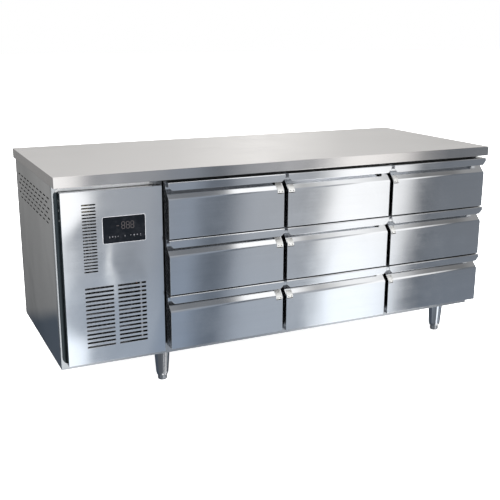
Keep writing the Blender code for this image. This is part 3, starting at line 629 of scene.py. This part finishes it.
def build_readout():
    """A minus sign, three unlit digits and a row of plain geometric touch symbols."""
    left, across = GLASS_LOW.x, GLASS_HIGH.x - GLASS_LOW.x
    tall = GLASS_HIGH.z - GLASS_LOW.z
    width, height = DIGIT
    top = GLASS_HIGH.z - 0.215 * tall
    digits = Build()
    for number in range(3):
        middle = left + (0.475 + 0.108 * number) * across
        for rise in (0.0, 0.5, 1.0):
            bar = segment((middle, top - rise * height), "X", width - 0.001, STROKE)
            digits.prism(bar, 1, *ON_GLASS)
        for side in (-0.5, 0.5):
            for rise in (0.25, 0.75):
                spot = (middle + side * width, top - rise * height)
                digits.prism(segment(spot, "Z", height / 2 - 0.001, STROKE), 1, *ON_GLASS)
    sign = segment((left + 0.345 * across, top - 0.5 * height), "X", width, STROKE)
    digits.prism(sign, 1, *ON_GLASS)
    digits.piece("display_digits", SEGMENT, "service_panel_body")
    icons = Build()
    row = GLASS_HIGH.z - 0.755 * tall
    for number, (share, size, sides, turn) in enumerate(ICONS):
        x = left + share * across
        mark = corner_arc((x, row), size, turn, turn + 360 * (sides - 1) / sides, sides - 1)
        icons.prism(mark, 1, *ON_GLASS)
        if number % 2 == 0:
            dash = segment((x, row - 0.0045), "X", 0.0040, 0.0008)
            icons.prism(dash, 1, *ON_GLASS)
    icons.piece("display_icons", ICON, "service_panel_body")


def build_sheet_fittings():
    """Folded and flat sheets that show through the vents: stiffener, screen and air baffle."""
    left, right, near, far = -0.6042, -0.5985, FRONT + 0.0413, FRONT + 0.0520
    rib = Build().box((left, near, BODY_BOTTOM + 0.0905), (right, far, BODY_BOTTOM + 0.3000))
    rib.piece("panel_stiffener", STIFFENER, "service_panel_body", 0.0003)
    screen = Build().box((-0.872, BACK_IN - 0.0040, 0.395), (-0.560, BACK_IN - 0.0032, 0.712))
    screen.piece("rear_screen", MESH, "cabinet", 0.0002)
    left, right = BAY_LEFT + 0.001, BULKHEAD - 0.001
    floor, top = SHROUD_LOW.z, 0.742
    clear = 0.0005
    hole_left, hole_right = SHROUD_LOW.x - clear, SHROUD_HIGH.x + clear
    hole_top = SHROUD_HIGH.z + clear
    outline = [(left, floor), (left, top), (right, top), (right, floor)]
    outline += [(hole_right, floor), (hole_right, hole_top), (hole_left, hole_top)]
    outline += [(hole_left, floor)]
    baffle = Build().prism(outline, 1, SHROUD_LOW.y + 0.004, SHROUD_LOW.y + 0.005)
    baffle.piece("air_baffle", GALVANISED, "cabinet", 0.0002)


def build_serpentine():
    """The condenser's front tube: four passes with round bends."""
    left, right = CORE_LOW.x + 0.012, CORE_HIGH.x - 0.016
    front = CORE_LOW.y - 0.0105
    path = []
    for number in range(4):
        z = 0.357 - 0.061 * number
        ends = [(left, front, z), (right, front, z)]
        path += ends if number % 2 == 0 else ends[::-1]
    Build().tube(rounded(path, 0.020), 0.0085, 12).piece("condenser_serpentine", TUBE, "cabinet")


def build_terminals():
    """Terminal block on its bracket, with three wires that hang in front of the condenser."""
    block = Build().box((-0.8080, FRONT + 0.0900, 0.676), (-0.7600, FRONT + 0.1040, 0.724))
    for step in range(3):
        z = 0.684 + 0.014 * step
        block.box((-0.8040, FRONT + 0.0860, z), (-0.7640, FRONT + 0.0905, z + 0.008))
    block.piece("terminal_block", TERMINAL, "cabinet", 0.0008)
    left, right, reach = -0.8110, -0.7570, SHROUD_LOW.y + 0.0035
    bracket = Build().box((left, FRONT + 0.1045, 0.640), (right, FRONT + 0.1057, 0.735))
    bracket.box((left, FRONT + 0.1050, 0.7338), (right, reach, 0.7350))
    bracket.piece("terminal_bracket", GALVANISED, "cabinet", 0.0002)
    wires = Build()
    for number, x in enumerate((-0.7900, -0.7760, -0.7680)):
        path = [
            (x, FRONT + 0.0880, 0.680),
            (x, FRONT + 0.0720, 0.640),
            (x + 0.002, FRONT + 0.0700, 0.520),
            (x + 0.001, FRONT + 0.0780, 0.440 + 0.012 * number),
            (x + 0.030, FRONT + 0.1150, 0.436 + 0.006 * number),
        ]
        wires.tube(rounded(path, 0.012), 0.0022, 8)
    wires.piece("wire_loom", WIRE, "cabinet")


def build_pipework():
    """Suction and discharge pipes from the compressor, and the filter drier."""
    low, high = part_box("compressor")
    x, y, outlet = 0.5 * (low.x + high.x), 0.5 * (low.y + high.y), high.z - 0.030
    suction = [(x + 0.05, y + 0.02, outlet), (x + 0.05, y + 0.02, 0.52)]
    suction += [(-0.545, y + 0.02, 0.52), (-0.545, y - 0.10, 0.52)]
    behind, over = SHROUD_HIGH.y + 0.05, CORE_HIGH.y - 0.02
    discharge = [(x - 0.05, y - 0.02, outlet), (x - 0.05, y - 0.02, 0.46)]
    discharge += [(x - 0.05, behind, 0.46), (-0.583, behind, 0.46)]
    discharge += [(-0.583, over, 0.46), (-0.583, over, 0.38)]
    pipes = Build()
    pipes.tube(rounded(suction, 0.018), 0.0040, 12)
    pipes.tube(rounded(discharge, 0.018), 0.0032, 12)
    pipes.piece("copper_pipes", COPPER, "cabinet")
    profile = [(0.0034, -0.062), (0.0110, -0.048), (0.0110, 0.048), (0.0034, 0.062)]
    drier = Build().lathe(profile, 2, (-0.560, y - 0.03, 0.36), 16)
    drier.piece("filter_drier", COPPER, "cabinet")


def build_screws():
    """Rows of pan-head screws that hold the back panel on."""
    screws = Build()
    low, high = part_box("back_panel")
    edges = (low.z + 0.012, high.z - 0.012)
    spots = [(x, z) for z in edges for x in (-0.87, -0.52, -0.17, 0.17, 0.52, 0.87)]
    spots += [(x, z) for x in (-0.87, -0.52, 0.87) for z in (0.29, 0.46, 0.63)]
    profile = [(0.0040, 0.0001), (0.0040, 0.0008), (0.0030, 0.0018), (0.0012, 0.0021)]
    for x, z in spots:
        screws.lathe(profile, 1, (x, high.y, z), 14)
    screws.piece("back_screws", SCREW, "cabinet")


for tab_column in COLUMNS:
    for tab_row in ROWS:
        build_grip_tab(tab_column, tab_row)
build_bay_surround()
build_bezel()
build_readout()
build_sheet_fittings()
build_serpentine()
build_terminals()
build_pipework()
build_screws()


# ---------------------------------------------------------------- floor, light and camera


def build_floor():
    """A wide pale floor, which the steel doesn't mirror."""
    mesh = bpy.data.meshes.new("floor")
    half = 40.0
    corners = [(-half, -half, 0.0), (half, -half, 0.0), (half, half, 0.0), (-half, half, 0.0)]
    mesh.from_pydata(corners, [], [(0, 1, 2, 3)])
    floor = bpy.data.objects.new("floor", mesh)
    bpy.context.scene.collection.objects.link(floor)
    look = Look("studio_floor")
    mottle = look.noise(look.place(), scale=2.0, detail=3.0)
    tint = look.mix(mottle, (0.86, 0.86, 0.86), (0.9, 0.9, 0.9))
    look.set(Base_Color=tint, Roughness=0.7, Emission_Color=(1.0, 1.0, 1.0))
    look.set(Emission_Strength=0.85)
    mesh.materials.append(look.material)
    floor.visible_glossy = False


# Each stop of a band is (where, brightness, blue tint).
PALE = (0.95, 0.95, 0.95)
# Mirrored by the drawer fronts and the service panel, in degrees from -Y toward +X.
FRONT_BANDS = (
    (-90.0, 0.30, 0.06),
    (-20.0, 0.24, 0.06),
    (-7.0, 0.30, 0.03),
    (-4.0, 0.80, 0.0),
    (8.0, 1.00, 0.0),
    (10.0, 1.50, 0.0),
    (13.2, 1.50, 0.0),
    (13.9, 0.48, 0.05),
    (15.2, 0.45, 0.07),
    (16.4, 0.49, 0.07),
    (18.6, 0.47, 0.07),
    (19.3, 0.36, 0.13),
    (21.6, 0.42, 0.14),
    (22.0, 0.17, 0.15),
    (23.6, 0.20, 0.13),
    (24.9, 0.53, 0.06),
    (28.2, 0.54, 0.05),
    (29.9, 0.44, 0.04),
    (30.9, 1.00, 0.0),
    (31.6, 1.45, 0.0),
    (34.4, 1.38, 0.0),
    (35.7, 1.28, 0.0),
    (36.3, 1.06, 0.0),
    (36.8, 0.26, 0.07),
    (37.2, 0.17, 0.09),
    (39.0, 0.25, 0.10),
    (42.0, 0.26, 0.09),
    (56.0, 0.40, 0.05),
    (59.0, 1.20, 0.0),
    (64.0, 1.20, 0.0),
    (68.0, 0.36, 0.05),
)
# Mirrored by the tapered legs, by the direction's x.
NADIR_BANDS = (
    (-1.0, 0.13, 0.10),
    (-0.2, 0.15, 0.10),
    (-0.12, 0.24, 0.06),
    (-0.06, 1.40, 0.0),
    (0.22, 1.40, 0.0),
    (0.29, 0.36, 0.04),
    (0.46, 0.28, 0.04),
    (0.485, 2.60, 0.0),
    (0.565, 2.60, 0.0),
    (0.60, 0.48, 0.0),
    (0.69, 0.50, 0.0),
    (0.72, 2.0, 0.0),
    (0.81, 2.0, 0.0),
    (0.84, 0.12, 0.05),
    (1.0, 0.08, 0.08),
)
# Mirrored by the grips' chamfers, in degrees out of the YZ plane toward +X.
SKY_BANDS = (
    (0.0, 1.60, 0.0),
    (12.0, 1.60, 0.0),
    (14.0, 0.60, 0.02),
    (19.5, 0.26, 0.06),
    (22.4, 0.24, 0.06),
    (23.1, 0.45, 0.02),
    (23.7, 1.45, 0.0),
    (26.7, 1.50, 0.0),
    (27.8, 1.00, 0.0),
    (28.7, 0.55, 0.0),
    (29.8, 0.85, 0.0),
    (31.0, 1.25, 0.0),
    (32.2, 1.28, 0.0),
    (33.9, 1.02, 0.0),
    (34.9, 0.80, 0.0),
    (35.6, 0.54, 0.0),
    (36.6, 0.27, 0.0),
    (38.9, 0.23, 0.0),
    (39.6, 0.40, 0.0),
    (60.0, 0.50, 0.0),
)
# Mirrored by the back and the left side, in degrees from +Y toward +X.
REAR_BANDS = (
    (-60.0, 0.40, -0.02),
    (12.0, 0.42, -0.02),
    (20.0, 0.66, -0.02),
    (26.0, 1.28, -0.02),
    (32.0, 0.62, -0.02),
    (39.0, 0.45, -0.02),
    (60.0, 0.45, -0.02),
)
# The floor below that wall, in degrees above the horizon.
REAR_FLOOR = (
    (-40.0, 0.10, 0.22),
    (-19.6, 0.11, 0.22),
    (-18.7, 0.26, 0.02),
    (-10.0, 0.36, 0.0),
    (0.0, 0.42, 0.0),
)


class Studio(Nodes):
    """World shader tree: how bright the studio is in each direction."""

    def ramp(self, value, low, high, stops):
        """Colour by value from low to high: stops are (value, brightness, blue tint)."""
        share = self.add("MapRange", {0: value, 1: low, 2: high}).outputs[0]
        node = self.add("ValToRGB", {0: share})
        elements = node.color_ramp.elements
        while len(elements) < len(stops):
            elements.new(0.5)
        for element, (at, bright, tint) in zip(elements, stops):
            element.position = (at - low) / (high - low)
            red, green, blue = bright * (1 - tint), bright * (1 - 0.2 * tint), bright * (1 + tint)
            element.color = (red, green, blue, 1)
        return node.outputs[0]

    def times(self, a, b):
        return self.math("MULTIPLY", a, b)

    def degrees(self, radians):
        return self.times(radians, 180 / math.pi)

    def between(self, value, start, full, fade, end):
        """1 from full to fade, and 0 before start and after end."""
        rise = self.span(value, start, full)
        return self.times(rise, self.math("SUBTRACT", 1.0, self.span(value, fade, end)))

    def ahead(self, x, azimuth, height):
        """What the fronts mirror: tall soft bands, a window, and the legs' bands low down."""
        slant = self.times(self.math("ADD", height, 14.0), -0.09)
        near_end = self.math("SUBTRACT", 1.0, self.span(azimuth, 15.0, 17.0))
        shift = self.times(self.span(height, -11.2, -10.7), near_end)
        slant = self.math("ADD", slant, shift)
        bands = self.ramp(self.math("ADD", azimuth, slant), -90.0, 90.0, FRONT_BANDS)
        window = self.between(height, -18.4, -17.6, -14.6, -13.8)
        lit = self.between(azimuth, 15.85, 16.15, 16.55, 16.85)
        dim = self.between(azimuth, 16.70, 17.0, 17.4, 17.9)
        bands = self.mix(self.times(window, lit), bands, (1.1, 1.1, 1.1))
        bands = self.mix(self.times(window, dim), bands, (0.30, 0.32, 0.35))
        cooler = self.mix(self.span(height, -21.0, -12.0), (0.97, 1.04, 1.12), (1.0, 1.0, 1.0))
        bands = self.mix(1.0, bands, cooler, "MULTIPLY")
        nadir = self.ramp(x, -1.0, 1.0, NADIR_BANDS)
        return self.mix(self.span(height, -30.0, -25.0), nadir, bands)

    def behind(self, x, y, height):
        """What the back and the left side mirror: a wall with one pale panel, and a floor."""
        azimuth = self.degrees(self.math("ARCTAN2", x, y))
        wall = self.ramp(azimuth, -60.0, 60.0, REAR_BANDS)
        floor = self.ramp(height, -40.0, 0.0, REAR_FLOOR)
        falling = self.span(azimuth, -11.5, -9.0, 1.0, 0.64, smooth=False)
        floor = self.mix(1.0, floor, falling, "MULTIPLY")
        return self.mix(self.span(height, -4.0, 2.0), floor, wall)

    def above(self, x, y):
        """The sky that the grips' chamfers and the worktop mirror, and the ceiling over it."""
        across = self.degrees(self.math("ARCSINE", x))
        sky = self.ramp(across, 0.0, 60.0, SKY_BANDS)
        ceiling = self.mix(self.span(y, -0.15, 0.05), (1.7, 1.72, 1.75), PALE)
        return self.mix(self.span(y, -0.05, 0.05), sky, PALE), ceiling


def build_world():
    """A plain studio: grey below the horizon, pale above, with a few soft panels."""
    world = bpy.data.worlds.new("studio")
    bpy.context.scene.world = world
    world.use_nodes = True
    world.node_tree.nodes.clear()
    studio = Studio(world.node_tree)
    x, y, z = studio.split(studio.add("TexCoord").outputs["Generated"])
    azimuth = studio.degrees(studio.math("ARCTAN2", x, studio.times(y, -1.0)))
    height = studio.degrees(studio.math("ARCSINE", z))
    ahead, behind = studio.ahead(x, azimuth, height), studio.behind(x, y, height)
    shade = studio.mix(studio.span(y, -0.05, 0.05), ahead, behind)
    sky, ceiling = studio.above(x, y)
    ceiling = studio.mix(studio.span(height, 74.0, 82.0), ceiling, (1.05, 1.05, 1.05))
    shade = studio.mix(studio.span(height, 4.0, 14.0), shade, sky)
    shade = studio.mix(studio.span(height, 58.0, 66.0), shade, ceiling)
    shade = studio.mix(studio.add("LightPath").outputs["Is Camera Ray"], shade, (1.0, 1.0, 1.0))
    background = studio.add("Background", {0: shade, 1: 1.0})
    output = studio.add("OutputWorld")
    studio.feed(output.inputs[0], background.outputs[0])


def build_lights():
    """A soft box in front and a wide soft sun overhead, which the steel doesn't mirror."""
    box = bpy.data.lights.new("softbox_front", "AREA")
    box.size = 3.0
    box.energy = 160.0
    sun = bpy.data.lights.new("overhead", "SUN")
    sun.energy = 2.4
    sun.angle = math.radians(60.0)
    for lamp, spot, aim in (
        (box, (-1.5, -4.0, 4.5), (0.0, 0.0, 0.3)),
        (sun, (0.3, -0.6, 5.0), (0.0, 0.0, 0.0)),
    ):
        light = bpy.data.objects.new(lamp.name, lamp)
        bpy.context.scene.collection.objects.link(light)
        light.location = spot
        way = Vector(aim) - Vector(spot)
        light.rotation_euler = way.to_track_quat("-Z", "Y").to_euler()
        light.visible_glossy = False


def build_camera():
    """The photograph's viewpoint. The angles are in radians."""
    yaw, pitch, roll = 0.4392, 0.2631, 0.0032
    forward = Vector(
        (math.sin(yaw) * math.cos(pitch), math.cos(yaw) * math.cos(pitch), -math.sin(pitch))
    )
    right = Vector((math.cos(yaw), -math.sin(yaw), 0.0))
    up = right.cross(forward)
    across = right * math.cos(roll) + up * math.sin(roll)
    upright = up * math.cos(roll) - right * math.sin(roll)
    camera = bpy.data.objects.new("camera", bpy.data.cameras.new("camera"))
    bpy.context.scene.collection.objects.link(camera)
    turn = Matrix((across, upright, -forward)).transposed().to_4x4()
    camera.matrix_world = Matrix.Translation((-1.435, -2.985, 1.287)) @ turn
    camera.data.lens = 58.52
    camera.data.sensor_width = 36.0
    camera.data.shift_x = 0.0075
    camera.data.shift_y = -0.0033
    camera.data.clip_start = 0.05
    camera.data.clip_end = 200.0
    bpy.context.scene.camera = camera


build_floor()
build_world()
build_lights()
build_camera()
bpy.context.scene.view_settings.view_transform = "Standard"
